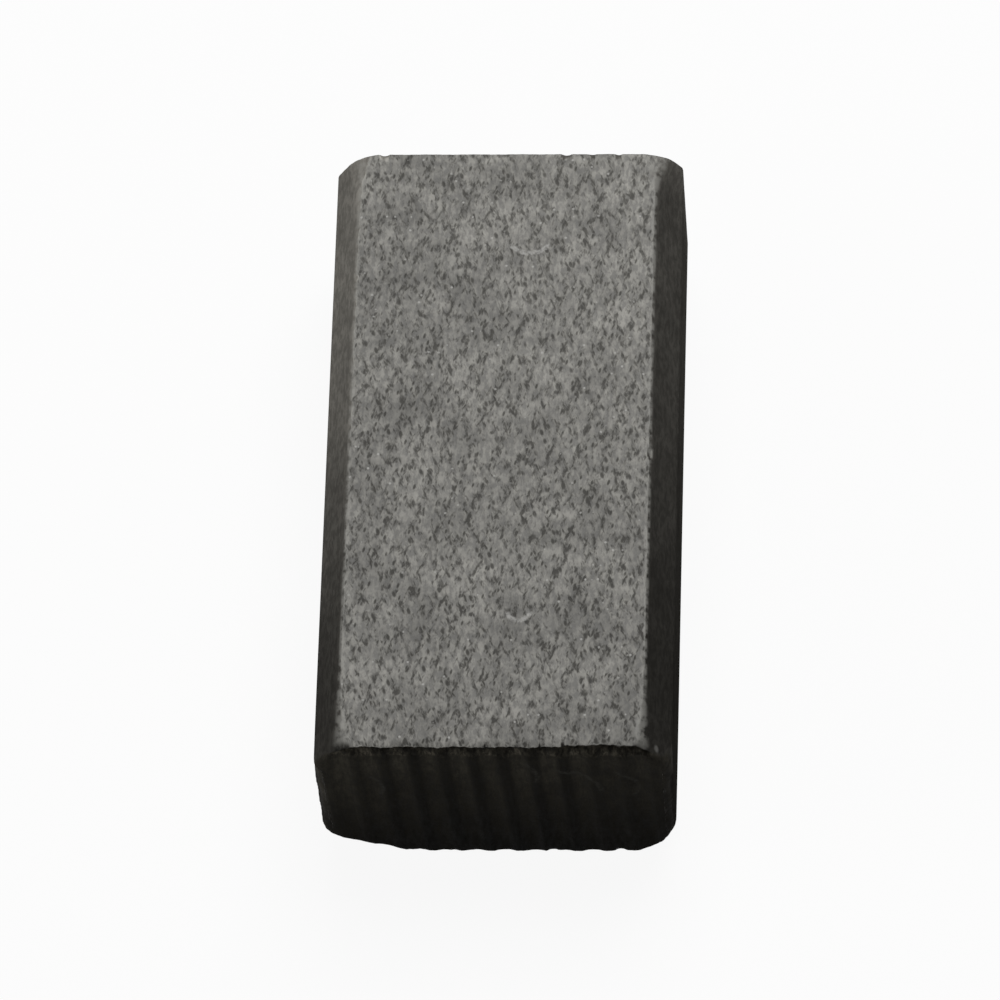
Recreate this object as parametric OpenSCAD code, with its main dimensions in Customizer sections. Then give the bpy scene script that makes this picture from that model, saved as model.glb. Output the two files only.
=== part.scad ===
// Carbon brush: one solid bar of pressed graphite that feeds current to a turning commutator.
//
// The bar slides endways in a guide that holds its broad faces and its narrow sides. The plain
// back end takes the push, and the ribbed contact end rides on the commutator. Its ribs bed in
// quickly, because at first only their crests touch.
//
// X runs across the width and Y along the length, with the contact end towards -Y.
// Z runs through the thickness. The origin is in the middle of the plain underside.
// All lengths are millimetres and all angles are degrees.

/* [Block] */
// Width between the two narrow sides
block_width = 12.5; // [8:0.1:25]
// Thickness from the plain underside to the scored broad face
block_thickness = 8; // [5:0.1:16]
// Length from the crests of the contact end to the plain back end
block_length = 24; // [12:0.1:50]

/* [Long edges] */
// Width that the bevel takes off each broad face
bevel_width = 0.9; // [0.4:0.05:2]
// Height that the bevel takes off each narrow side
bevel_height = 1.5; // [0.4:0.05:2.2]
// Radius of the worn curves where the bevel meets its two neighbours
bevel_radius = 0.45; // [0.1:0.05:1.2]

/* [Contact end] */
// Distance from the crest of one rib to the next
rib_pitch = 1.04; // [0.6:0.02:2]
// Width of the flat crest that the flutes leave on each rib
rib_land = 0.26; // [0.1:0.02:0.5]
// Depth of the round flutes between the ribs
flute_depth = 0.1; // [0.04:0.01:0.25]
// Lean of the ribs, whose lower ends lie further towards +X
rib_lean = 2; // [0:0.5:12]

/* [Scored face] */
// Distance between neighbouring score lines of one family, measured across the width
score_pitch = 0.95; // [0.6:0.05:3]
// Angle between a score line and the long axis, to either side
score_angle = 18.5; // [5:0.5:45]
// Width of a score line at the surface
score_width = 0.12; // [0.05:0.01:0.3]
// Depth of a score line
score_depth = 0.04; // [0.02:0.01:0.15]

/* [Broken front edge] */
// Reach of the broken edge back along the scored face, from the crests of the ribs
break_length = 0.15; // [0.05:0.05:0.6]
// Reach of the broken edge down the contact end
break_height = 0.5; // [0.1:0.05:1.2]

/* [Worn corner] */
// Reach of the wear across the underside, from the narrow side at -X
wear_width = 3.1; // [1.6:0.1:6]
// Reach of the wear up the narrow side
wear_height = 1.3; // [0.8:0.1:3.5]
// Reach of the wear back from the contact end, where it runs out
wear_length = 9; // [3:0.5:12]

/* [Hidden] */

graphite = [0.45, 0.45, 0.44];
// Straight pieces in each worn curve of the section
arc_steps = 6;
flute_sides = 48;
// How far a cutting tool reaches past what it cuts
overcut = 1;

half_width = block_width / 2;
half_thickness = block_thickness / 2;
half_length = block_length / 2;

// The bevel's slope from the broad face, and the two turns that it makes
bevel_angle = atan2(bevel_height, bevel_width);
broad_turn = tan(bevel_angle / 2);
side_turn = tan((90 - bevel_angle) / 2);
// The curves share the bevel's own flat, so its length limits their radius
bevel_flat = norm([bevel_width, bevel_height]);
curve_radius = min(bevel_radius, bevel_flat / (broad_turn + side_turn));

// A flute's radius follows from its depth and from the width that it opens
flute_opening = rib_pitch - rib_land;
flute_radius = (flute_opening * flute_opening / 4 + flute_depth * flute_depth) / (2 * flute_depth);
flutes_each_way = ceil(half_width / rib_pitch);

score_spacing = score_pitch * cos(score_angle);
score_reach = half_width * cos(score_angle) + half_length * sin(score_angle);
scores_each_way = floor(score_reach / score_spacing);

function arc_points(centre, radius, start, end) =
    [for (i = [0:arc_steps])
        let (angle = start + (end - start) * i / arc_steps)
        centre + radius * [cos(angle), sin(angle)]];

function mirrored(points, x_sign, y_sign) =
    [for (point = points) [point[0] * x_sign, point[1] * y_sign]];

function reversed(points) =
    [for (i = [len(points) - 1:-1:0]) points[i]];

// Corner of the section between the narrow side at +X and the broad face above, drawn about
// the section's own middle
section_corner = concat(
    arc_points(
        [half_width - curve_radius, half_thickness - bevel_height - curve_radius * side_turn],
        curve_radius, 0, 90 - bevel_angle),
    arc_points(
        [half_width - bevel_width - curve_radius * broad_turn, half_thickness - curve_radius],
        curve_radius, 90 - bevel_angle, 90));

module section() {
    polygon(concat(
        section_corner,
        reversed(mirrored(section_corner, -1, 1)),
        mirrored(section_corner, -1, -1),
        reversed(mirrored(section_corner, 1, -1))));
}

// The bar with its four bevelled long edges and two square ends
module bevelled_bar() {
    translate([0, 0, half_thickness])
        rotate([90, 0, 0])
            linear_extrude(height = block_length, center = true)
                section();
}

// Round cutters that leave the ribs of the contact end between them
module flute_cutters() {
    for (i = [-flutes_each_way:flutes_each_way])
        translate([i * rib_pitch, flute_depth - half_length - flute_radius, half_thickness])
            rotate([0, -rib_lean, 0])
                cylinder(h = block_thickness + 2 * overcut, r = flute_radius,
                    center = true, $fn = flute_sides);
}

// One V-shaped cutter along Y, which opens to the score's width at z = 0
module score_cutter() {
    rotate([90, 0, 0])
        linear_extrude(height = norm([block_width, block_length]) + 2 * overcut, center = true)
            polygon([[0, -score_depth], [score_width, score_depth], [-score_width, score_depth]]);
}

// Two crossing families of score lines over the upper broad face
module score_cutters() {
    for (lean = [-score_angle, score_angle])
        translate([0, 0, block_thickness])
            rotate([0, 0, lean])
                for (i = [-scores_each_way:scores_each_way])
                    translate([i * score_spacing, 0, 0])
                        score_cutter();
}

// A three-sided cutter along X, whose long face passes through both reaches of the break
module break_cutter() {
    translate([0, -half_length, block_thickness])
        rotate([90, 0, 90])
            linear_extrude(height = block_width + 2 * overcut, center = true)
                polygon([
                    [-break_length, -2 * break_height],
                    [2 * break_length, break_height],
                    [-break_length, break_height]]);
}

// A flat cutter whose face meets the corner's three edges at the reaches of the wear
module wear_cutter() {
    slope = [1 / wear_width, 1 / wear_length, 1 / wear_height];
    depth = 1 / norm(slope);
    size = 2 * norm([wear_width, wear_length, wear_height]);
    translate([-half_width, -half_length, 0])
        rotate([0, acos(slope[2] * depth), atan2(slope[1], slope[0])])
            translate([-size / 2, -size / 2, depth - size])
                cube(size);
}

module carbon_block() {
    color(graphite)
        difference() {
            bevelled_bar();
            flute_cutters();
            score_cutters();
            break_cutter();
            wear_cutter();
        }
}

carbon_block();
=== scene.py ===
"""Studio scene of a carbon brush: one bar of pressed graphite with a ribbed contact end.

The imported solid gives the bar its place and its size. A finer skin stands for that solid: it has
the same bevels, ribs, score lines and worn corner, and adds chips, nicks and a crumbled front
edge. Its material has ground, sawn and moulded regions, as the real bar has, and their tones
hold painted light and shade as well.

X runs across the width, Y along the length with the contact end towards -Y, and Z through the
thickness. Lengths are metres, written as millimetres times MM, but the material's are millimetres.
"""

import logging
import math
from collections.abc import Callable
from dataclasses import dataclass
from enum import Enum
from functools import partial, reduce
from itertools import product
from typing import Any

import bpy
import numpy as np
from mathutils import Matrix, Vector


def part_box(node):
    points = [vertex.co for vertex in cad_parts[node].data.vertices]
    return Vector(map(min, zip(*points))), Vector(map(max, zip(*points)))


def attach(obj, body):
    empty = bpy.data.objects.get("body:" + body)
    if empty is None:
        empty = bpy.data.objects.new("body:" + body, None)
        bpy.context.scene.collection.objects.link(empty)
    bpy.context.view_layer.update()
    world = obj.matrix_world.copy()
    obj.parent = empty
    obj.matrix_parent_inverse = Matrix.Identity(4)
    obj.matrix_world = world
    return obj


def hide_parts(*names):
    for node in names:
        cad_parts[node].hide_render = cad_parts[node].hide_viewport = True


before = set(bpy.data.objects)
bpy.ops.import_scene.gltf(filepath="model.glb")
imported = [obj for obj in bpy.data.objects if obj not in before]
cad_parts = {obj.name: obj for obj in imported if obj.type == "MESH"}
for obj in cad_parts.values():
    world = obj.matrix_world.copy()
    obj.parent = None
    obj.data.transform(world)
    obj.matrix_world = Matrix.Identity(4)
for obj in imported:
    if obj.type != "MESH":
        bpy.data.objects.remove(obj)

log = logging.getLogger("carbon_brush")

MM = 0.001
NODE = "carbon_block"
BODY = "root"
# Middle value of a noise
NOISE_MIDDLE = 0.5
# Vector Math operations whose result is a number
NUMBER_RESULTS = ("LENGTH", "DISTANCE", "DOT_PRODUCT")

Socket = bpy.types.NodeSocket
Triple = tuple[float, float, float]
Color = tuple[float, float, float, float]


class Region(Enum):
    """Mesh attributes that tell the material how a stretch of surface was made."""

    SCORED = "scored_face"
    GROUND = "ground_face"
    END = "end_face"
    # Worn long edges, whose paler colour is partly a painted highlight
    EDGE = "worn_edge_and_highlight"
    RIBS = "rib_reach"
    FLUTE = "rib_flute"
    GROOVE = "score_groove"
    SHADE = "score_shade"
    BROKEN = "broken_edge"


@dataclass(frozen=True)
class Ramp:
    """A smooth turn from one number into another.

    Attributes:
        low: Where the turn starts.
        high: Where it ends.
        start: The result at and before low.
        end: The result at and after high.
    """

    low: float
    high: float
    start: float = 0.0
    end: float = 1.0


@dataclass(frozen=True)
class Pattern:
    """A noise.

    Attributes:
        density: Patches in one unit of length along each axis.
        detail: Number of finer layers.
        roughness: Strength of each finer layer.
    """

    density: Triple
    detail: float = 2.0
    roughness: float = 0.5


@dataclass
class Graph:
    """A node tree under construction, with short ways to add its nodes and wire them.

    Attributes:
        tree: The shader or geometry tree that the nodes go into.
    """

    tree: bpy.types.NodeTree

    def add(self, kind: str, inputs: dict[Any, Any] | None = None, **settings: Any) -> bpy.types.Node:
        """Adds a node.

        Args:
            kind: The node's type name.
            inputs: Plain values or output sockets for its inputs, by name or by place.
            **settings: Values for the node's own properties.

        Returns:
            The new node.
        """
        node = self.tree.nodes.new(kind)
        for name, value in settings.items():
            setattr(node, name, value)
        for key, value in (inputs or {}).items():
            if isinstance(value, Socket):
                self.tree.links.new(value, node.inputs[key])
            else:
                node.inputs[key].default_value = value
        return node

    def math(self, operation: str, *values: Any) -> Socket:
        """Works out numbers with a Math node."""
        return self.add("ShaderNodeMath", dict(enumerate(values)), operation=operation).outputs[0]

    def product(self, *values: Any) -> Socket:
        """Multiplies numbers."""
        return reduce(partial(self.math, "MULTIPLY"), values)

    def total(self, *values: Any) -> Socket:
        """Adds numbers up."""
        return reduce(partial(self.math, "ADD"), values)

    def most(self, *values: Any) -> Socket:
        """Takes the largest of some numbers."""
        return reduce(partial(self.math, "MAXIMUM"), values)

    def vector(self, operation: str, *values: Any, scale: Any = 1.0) -> Socket:
        """Works out vectors with a Vector Math node.

        Args:
            operation: The node's operation.
            *values: Its operands.
            scale: Factor of the operation SCALE.

        Returns:
            The vector, or the number that some operations give.
        """
        node = self.add("ShaderNodeVectorMath", dict(enumerate(values)), operation=operation)
        if operation == "SCALE":
            self.tree.links.new(scale, node.inputs["Scale"])
        return node.outputs["Value" if operation in NUMBER_RESULTS else "Vector"]

    def split(self, vector: Any) -> bpy.types.bpy_prop_collection:
        """Takes a vector apart into its X, Y and Z."""
        return self.add("ShaderNodeSeparateXYZ", {0: vector}).outputs

    def join(self, **parts: Any) -> Socket:
        """Makes a vector of its X, Y and Z, where those left out are 0."""
        return self.add("ShaderNodeCombineXYZ", parts).outputs[0]

    def ramp(self, value: Any, ramp: Ramp) -> Socket:
        """Turns a value smoothly into another one."""
        inputs = {0: value, 1: ramp.low, 2: ramp.high, 3: ramp.start, 4: ramp.end}
        return self.add("ShaderNodeMapRange", inputs, interpolation_type="SMOOTHSTEP").outputs[0]

    def blend(self, share: Any, first: Any, second: Any) -> Socket:
        """Mixes two numbers by the share of the second."""
        return self.add("ShaderNodeMix", {0: share, 2: first, 3: second}).outputs[0]

    def tint(self, share: Any, first: Any, second: Any) -> Socket:
        """Mixes two colours by the share of the second."""
        return self.add("ShaderNodeMix", {0: share, 6: first, 7: second}, data_type="RGBA").outputs[2]

    def stretched(self, vector: Any, density: Triple, turn: float = 0.0) -> Socket:
        """Gives a pattern its coordinates.

        Args:
            vector: The place.
            density: Factor along each axis after the turn.
            turn: Angle in degrees by which the pattern is turned about Z.

        Returns:
            The coordinates.
        """
        if turn:
            inputs = {"Vector": vector, "Angle": math.radians(-turn)}
            vector = self.add("ShaderNodeVectorRotate", inputs, rotation_type="Z_AXIS").outputs[0]
        return self.vector("MULTIPLY", vector, density)

    def noise(self, place: Any, pattern: Pattern, turn: float = 0.0, seed: Any = None) -> Socket:
        """Reads a noise.

        Args:
            place: Where it is read.
            pattern: The noise.
            turn: Angle in degrees by which it is turned about Z.
            seed: Number that picks one of many such noises, if any.

        Returns:
            The noise's value.
        """
        vector = self.stretched(place, pattern.density, turn)
        inputs = {"Vector": vector, "Scale": 1.0, "Detail": pattern.detail, "Roughness": pattern.roughness}
        if seed is None:
            return self.add("ShaderNodeTexNoise", inputs).outputs[0]
        return self.add("ShaderNodeTexNoise", {**inputs, "W": seed}, noise_dimensions="4D").outputs[0]

    def from_line(self, place: Socket, pitch: Socket) -> Socket:
        """Gives the distance to the nearest of a row of lines.

        Args:
            place: Place across the lines.
            pitch: Distance between two lines.

        Returns:
            The distance.
        """
        count = self.math("DIVIDE", place, pitch)
        off = self.math("ABSOLUTE", self.math("SUBTRACT", count, self.math("ROUND", count)))
        return self.product(off, pitch)

    def attribute(self, region: Region) -> Socket:
        """Reads one of the skin's attributes in a geometry tree."""
        node = self.add("GeometryNodeInputNamedAttribute", {"Name": region.value}, data_type="FLOAT")
        return node.outputs["Attribute"]

    def mark(self, geometry: Socket, region: Region, value: Socket) -> Socket:
        """Stores a value as one of the skin's attributes.

        Args:
            geometry: The skin.
            region: The attribute.
            value: The value.

        Returns:
            The marked skin.
        """
        inputs = {"Geometry": geometry, "Name": region.value, "Value": value}
        node = self.add("GeometryNodeStoreNamedAttribute", inputs, data_type="FLOAT", domain="POINT")
        return node.outputs[0]


@dataclass(frozen=True)
class Chip:
    """A small bite out of an edge.

    Attributes:
        place: Point on the edge.
        outward: Direction away from the bar at that point.
        radius: Radius of the round bite.
        depth: How far it reaches in from the edge.
    """

    place: Triple
    outward: Triple
    radius: float
    depth: float

    def bite(self, points: np.ndarray) -> np.ndarray:
        """Pushes the points that lie inside the bite onto its surface.

        Args:
            points: Rows of X, Y and Z.

        Returns:
            The points after the bite.
        """
        outward = np.array(self.outward) / np.linalg.norm(self.outward)
        centre = np.array(self.place) + outward * (self.radius - self.depth)
        offset = points - centre
        distance = np.linalg.norm(offset, axis=1)
        inside = distance < self.radius
        moved = points.copy()
        moved[inside] = centre + offset[inside] * (self.radius / distance[inside])[:, None]
        return moved


def ripple(place: np.ndarray, wavelength: float, seed: int, layers: int = 3) -> np.ndarray:
    """Gives a smooth and repeatable wander between about -1 and 1.

    Args:
        place: Distances at which it is read.
        wavelength: Length of the longest wave.
        seed: Number that picks the wander.
        layers: Number of waves, each shorter and lower than the last.

    Returns:
        The wander at each place.
    """
    shorter, lower, height, stretches = 1.9, 1.5, 1.6, (0.8, 1.25)
    chance = np.random.default_rng(seed)
    wander = np.zeros_like(place, dtype=float)
    for layer in range(layers):
        phase = chance.uniform(0, 2 * math.pi)
        stretch = chance.uniform(*stretches)
        wander += np.sin(place / wavelength * 2 * math.pi * stretch * shorter**layer + phase) / lower**layer
    return wander / height


def fade(values: np.ndarray, low: float, high: float) -> np.ndarray:
    """Turns values evenly into shares, with 0 at and beyond low and 1 at and beyond high."""
    return np.clip((values - low) / (high - low), 0, 1)


def soft_fade(values: np.ndarray, low: float, high: float) -> np.ndarray:
    """Turns values into such shares without a kink at either limit."""
    share = fade(values, low, high)
    return share * share * (3 - 2 * share)


def path_length(points: np.ndarray) -> np.ndarray:
    """Gives each point's distance from the first one along the path through them."""
    return np.concatenate([[0], np.cumsum(np.linalg.norm(np.diff(points, axis=0), axis=1))])


@dataclass
class GraphiteBar:
    """The bar's finer skin.

    It is a row of rings round the bar, closed by a grid at either end.
    """

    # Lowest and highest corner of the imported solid
    low: Vector
    high: Vector
    # What a bevel takes off a broad face's width and off a narrow side's height
    bevel_width: float = 0.9 * MM
    bevel_height: float = 1.5 * MM
    # Worn curve between a broad face and a bevel, and what handling adds to it at the ends
    edge_radius: float = 0.36 * MM
    corner_radius: float = 1.25 * MM
    # Upper corner at +X and +Y: its share of that, and how much fuller than its bevel it is
    kept_share: float = 0.55
    corner_fill: float = 0.26 * MM
    # Worn curve between a bevel and a narrow side, and what handling adds at the contact end
    side_radius: float = 0.45 * MM
    side_corner_radius: float = 0.5 * MM
    # How far from an end handling tells
    handled_reach: float = 1.3 * MM
    # Ribs: distance between two, width of a crest, depth of a flute, and lean in degrees
    rib_pitch: float = 1.04 * MM
    rib_land: float = 0.26 * MM
    flute_depth: float = 0.1 * MM
    rib_lean: float = 2.0
    # Depth to which the crests have bedded in
    bedding: float = 0.02 * MM
    # Score lines: distance across the width, angle from the long axis in degrees, depth, and the
    # distance over which pits crowd beside them
    score_pitch: float = 0.95 * MM
    score_angle: float = 18.5
    score_depth: float = 0.035 * MM
    score_shade: float = 0.34 * MM
    # Mesh cells from one score line to the next
    score_cells: int = 16
    # Worn corner: reach across the underside, up the narrow side and back from the contact end
    wear_width: float = 3.1 * MM
    wear_height: float = 1.3 * MM
    wear_length: float = 9.0 * MM
    # Worn curve round both ends, and the lengths of the long and short waves in its width
    rim_radius: float = 0.07 * MM
    rim_waves: tuple[float, float] = (1.7 * MM, 0.41 * MM)
    # Broken front edge: reach back along the scored face and down the contact end, depth of the
    # lost grains, and place across the bar and depth of a step in it
    break_length: float = 0.08 * MM
    break_height: float = 0.42 * MM
    break_crumbs: float = 0.05 * MM
    break_step: tuple[float, float] = (2.52 * MM, 0.12 * MM)
    # Wear of the contact end's bevels and upright edges, and what it adds at the bevels' feet
    end_wear: float = 0.36 * MM
    foot_wear: float = 0.5 * MM
    # Mesh cells over the worn curve, the bevel and the outer curve, then over a side and a rim
    bevel_steps: tuple[int, int, int] = (8, 6, 8)
    side_steps: int = 36
    rim_steps: int = 6
    # Points of each worn curve as it is drawn
    arc_points: int = 24
    # Least distance from an end to the evenly spaced rings, and from a rim to the next ring
    even_margin: float = 0.4 * MM
    rim_margin: float = 0.12 * MM
    # Distance from the contact end over which the rings give way to its rim
    squeeze_reach: float = 2.6 * MM

    def __post_init__(self) -> None:
        """Works out the sizes that follow from the others."""
        self.half_width = (self.high.x - self.low.x) / 2
        self.half_length = (self.high.y - self.low.y) / 2
        self.thickness = self.high.z - self.low.z
        self.shoulder = self.half_width - self.bevel_width
        self.bevel_angle = math.atan2(self.bevel_height, self.bevel_width)
        self.cell = self.score_pitch / self.score_cells
        self.row_step = self.cell / math.tan(math.radians(self.score_angle))
        flat = self.shoulder - self.edge_radius * math.tan(self.bevel_angle / 2)
        self.flat_columns = int(flat / self.cell)
        self.flat_reach = self.flat_columns * self.cell
        self.rows = int((self.half_length - self.even_margin) / self.row_step)
        self.columns = 2 * self.flat_columns + 2 * sum(self.bevel_steps)
        self.ring_size = 2 * self.columns + 2 * self.side_steps

    def face_drop(self, inward: np.ndarray, radius: float) -> np.ndarray:
        """Says how far the worn curve lies below a broad face.

        Args:
            inward: Distances from the narrow side.
            radius: Radius of the worn curve.

        Returns:
            The drop at each distance.
        """
        start = self.bevel_width + radius * math.tan(self.bevel_angle / 2)
        reach = np.clip(start - inward, 0, radius)
        return radius - np.sqrt(radius**2 - reach**2)

    def corner_curve(self, radius: float, side_radius: float) -> np.ndarray:
        """Draws one corner of the section, from the flat's last column to the narrow side.

        Args:
            radius: Radius of the worn curve next to the broad face.
            side_radius: Radius of the worn curve next to the narrow side.

        Returns:
            Rows of distance from the narrow side and depth below the broad face.
        """
        inner = np.linspace(0, self.bevel_angle, self.arc_points)
        outer = np.linspace(self.bevel_angle, math.pi / 2, self.arc_points)
        start = self.bevel_width + radius * math.tan(self.bevel_angle / 2)
        side = self.bevel_height + side_radius * math.tan((math.pi / 2 - self.bevel_angle) / 2)
        curve = np.concatenate([
            [[self.half_width, 0.0]],
            np.stack([start - radius * np.sin(inner), radius * (1 - np.cos(inner))], 1),
            np.stack([side_radius * (1 - np.sin(outer)), side - side_radius * np.cos(outer)], 1),
        ])
        length = path_length(curve)
        first = np.interp(self.flat_reach - self.half_width, -curve[:, 0], length)
        stops = [first, length[self.arc_points], length[self.arc_points + 1], length[-1]]
        places = [np.linspace(a, b, n + 1)[1:] for a, b, n in zip(stops, stops[1:], self.bevel_steps)]
        places = np.concatenate([[first], *places])
        return np.stack([np.interp(places, length, curve[:, axis]) for axis in (0, 1)], 1)

    def filled(self, curve: np.ndarray, share: float) -> np.ndarray:
        """Fills out a corner's curve in its middle.

        Args:
            curve: Rows of distance from the narrow side and depth below the broad face.
            share: Share of the whole filling.

        Returns:
            The fuller curve.
        """
        swell = np.sin(np.linspace(0, math.pi, len(curve))) ** 2 * share * self.corner_fill
        outward = (math.sin(self.bevel_angle), math.cos(self.bevel_angle))
        return np.maximum(curve - np.outer(swell, outward), 0)

    def edge_wear(self, y: float, corner: int) -> float:
        """Gives the radius of one long edge's worn curve at a place along the bar.

        Args:
            y: Place along the bar.
            corner: 0 or 1 for the upper edge at -X or +X, and 2 or 3 for the lower ones.

        Returns:
            The radius.
        """
        wavelength, strength, seed = 4.1 * MM, 0.25, 40
        wander = 1 + strength * float(ripple(np.array([y]), wavelength, seed + corner)[0])
        kept = self.kept_share if corner == 1 and y > 0 else 1.0
        return self.edge_radius * wander + self.corner_radius * kept * self.near_end(y)

    def near_end(self, y: float) -> float:
        """Gives a share that falls from 1 at an end to nearly 0 about 2.5 mm from it."""
        steepness = 1.4
        return math.exp(-(((self.half_length - abs(y)) / self.handled_reach) ** steepness))

    def broad_outline(self, y: float, top: bool) -> np.ndarray:
        """Draws the section's upper or lower outline from -X to +X.

        Args:
            y: Place along the bar.
            top: True for the upper one.

        Returns:
            Rows of X and Z.
        """
        corner = 0 if top else 2
        radii = (self.edge_wear(y, corner), self.edge_wear(y, corner + 1))
        side_radius = self.side_radius + (self.side_corner_radius * self.near_end(y) if y < 0 else 0.0)
        left, right = (self.corner_curve(radius, side_radius) for radius in radii)
        if top and y > 0:
            right = self.filled(right, self.near_end(y) ** 2)
        flat = np.arange(1 - self.flat_columns, self.flat_columns) * self.cell
        drops = [self.face_drop(self.half_width - np.abs(flat), radius) for radius in radii]
        drop = np.where(flat < 0, drops[0], drops[1])
        x = np.concatenate([left[::-1, 0] - self.half_width, flat, self.half_width - right[:, 0]])
        depth = np.concatenate([left[::-1, 1], drop, right[:, 1]])
        if top:
            return np.stack([x, self.thickness - depth], 1)
        worn = 1 - (x + self.half_width) / self.wear_width - (y + self.half_length) / self.wear_length
        return np.stack([x, np.maximum(depth, self.wear_height * worn)], 1)

    def ring(self, y: float) -> np.ndarray:
        """Draws the closed outline of the section: over the top, down, back and up again.

        Args:
            y: Place along the bar.

        Returns:
            Rows of X and Z.
        """
        top = self.broad_outline(y, True)
        bottom = self.broad_outline(y, False)
        share = np.arange(1, self.side_steps)[:, None] / self.side_steps
        right = top[-1] + (bottom[-1] - top[-1]) * share
        left = bottom[0] + (top[0] - bottom[0]) * share
        return np.concatenate([top, right, bottom[::-1], left])

    @staticmethod
    def inset_ring(ring: np.ndarray, inset: np.ndarray) -> np.ndarray:
        """Draws an outline inside another.

        Args:
            ring: The outer outline.
            inset: Distance between the two at each point.

        Returns:
            The inner outline.
        """
        along = np.roll(ring, -1, 0) - np.roll(ring, 1, 0)
        along /= np.linalg.norm(along, axis=1)[:, None]
        inward = np.stack([along[:, 1], -along[:, 0]], 1)
        return ring + inward * inset[:, None]

    def rim_wear(self, ring: np.ndarray, sign: int) -> tuple[np.ndarray, np.ndarray]:
        """Gives how far the wear round one end reaches along the bar and over the end.

        Args:
            ring: The outline at that end.
            sign: -1 for the contact end and 1 for the plain end.

        Returns:
            Both reaches at each point.
        """
        seeds, strengths = (70 + sign, 72 + sign), (0.25, 0.15)
        length = path_length(ring)
        total = length[-1] + np.linalg.norm(ring[0] - ring[-1])
        long_wave, short_wave = self.rim_waves
        long_wave = total / round(total / long_wave)
        wander = 1 + strengths[0] * ripple(length, long_wave, seeds[0], 1)
        wander += strengths[1] * ripple(length, short_wave, seeds[1], 2)
        along = self.rim_radius * wander
        over = along.copy()
        if sign < 0:
            left_foot_share, upright_share = 0.4, 0.7
            upper = self.near_top(ring[:, 1])
            place, depth = self.break_step
            step = depth * fade(ring[:, 0], place, place + depth)
            aside = fade(np.abs(ring[:, 0]), self.shoulder, self.half_width)
            along += upper * (self.break_length * wander + step) + aside * self.end_wear * wander
            foot = self.on_bevel(ring[:, 1]) * np.where(ring[:, 0] > 0, 1.0, left_foot_share)
            along += aside * foot * self.foot_wear * wander
            over += upper * self.break_height * wander
            over += aside * (1 - upper) * self.end_wear * upright_share
        return along, over

    def near_top(self, height: np.ndarray) -> np.ndarray:
        """Gives shares that rise from 0 half a millimetre below the scored face to 1 just under it."""
        start, full = 0.5 * MM, 0.1 * MM
        return fade(height, self.thickness - start, self.thickness - full)

    def on_bevel(self, height: np.ndarray) -> np.ndarray:
        """Gives shares of 1 at the foot of the upper bevels that fall to 0 above and below it."""
        foot, below = self.thickness - self.bevel_height, 0.8 * MM
        return np.interp(height, (foot - below, foot, self.thickness), (0, 1, 0))

    def end_rings(self, sign: int) -> list[np.ndarray]:
        """Draws the rings that turn the sides over into one end.

        Args:
            sign: -1 for the contact end and 1 for the plain end.

        Returns:
            Rings of X, Y and Z, from the sides to the end.
        """
        ring = self.ring(sign * self.half_length)
        along, over = self.rim_wear(ring, sign)
        rings = []
        for turn in np.linspace(0, math.pi / 2, self.rim_steps + 1):
            flat = self.inset_ring(ring, over * (1 - math.cos(turn)))
            y = sign * (self.half_length - along * (1 - math.sin(turn)))
            rings.append(np.stack([flat[:, 0], y, flat[:, 1]], 1))
        return rings

    def skin_rings(self) -> np.ndarray:
        """Places every ring of the skin from the contact end to the plain one.

        Returns:
            An array of rings by points by coordinates.
        """
        rings = self.end_rings(-1)[::-1]
        first = self.half_length - self.rows * self.row_step
        along, _ = self.rim_wear(self.ring(-self.half_length), -1)
        start = np.maximum(first, along + self.rim_margin)
        squeeze = (self.squeeze_reach - start) / (self.squeeze_reach - first)
        for row in range(-self.rows, self.rows + 1):
            flat = self.ring(row * self.row_step)
            from_front = np.full(len(flat), row * self.row_step + self.half_length)
            if from_front[0] < self.squeeze_reach:
                from_front = start + (from_front - first) * squeeze
            rings.append(np.stack([flat[:, 0], from_front - self.half_length, flat[:, 1]], 1))
        return np.array(rings + self.end_rings(1))

    def end_grid(self, start: int) -> np.ndarray:
        """Numbers the points on the border of an end's grid.

        Args:
            start: Number of the end ring's first point.

        Returns:
            Columns by rows of point numbers, with -1 inside the border.
        """
        columns, rows = self.columns, self.side_steps
        grid = np.full((columns + 1, rows + 1), -1)
        across = np.arange(columns + 1)
        up = np.arange(1, rows)
        grid[:, rows] = start + across
        grid[:, 0] = start + 2 * columns + rows - across
        grid[0, 1:rows] = start + 2 * columns + rows + up
        grid[columns, 1:rows] = start + columns + rows - up
        return grid

    def end_points(self, ring: np.ndarray) -> np.ndarray:
        """Fills an end with a grid of points between its upper and its lower outline.

        Args:
            ring: The end's ring.

        Returns:
            The points inside the border, by columns.
        """
        columns, rows = self.columns, self.side_steps
        top = ring[1:columns]
        bottom = ring[2 * columns + rows - np.arange(1, columns)]
        share = (np.arange(1, rows) / rows)[None, :, None]
        return (bottom[:, None] + (top - bottom)[:, None] * share).reshape(-1, 3)

    @staticmethod
    def split_cells(cells: np.ndarray, rising: np.ndarray) -> np.ndarray:
        """Splits four-sided cells into triangles.

        Args:
            cells: Rows of four point numbers.
            rising: True where the split joins the first and the third point.

        Returns:
            Rows of three point numbers.
        """
        up, down = cells[rising], cells[~rising]
        return np.concatenate([up[:, [0, 1, 2]], up[:, [0, 2, 3]], down[:, [0, 1, 3]], down[:, [1, 2, 3]]])

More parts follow.
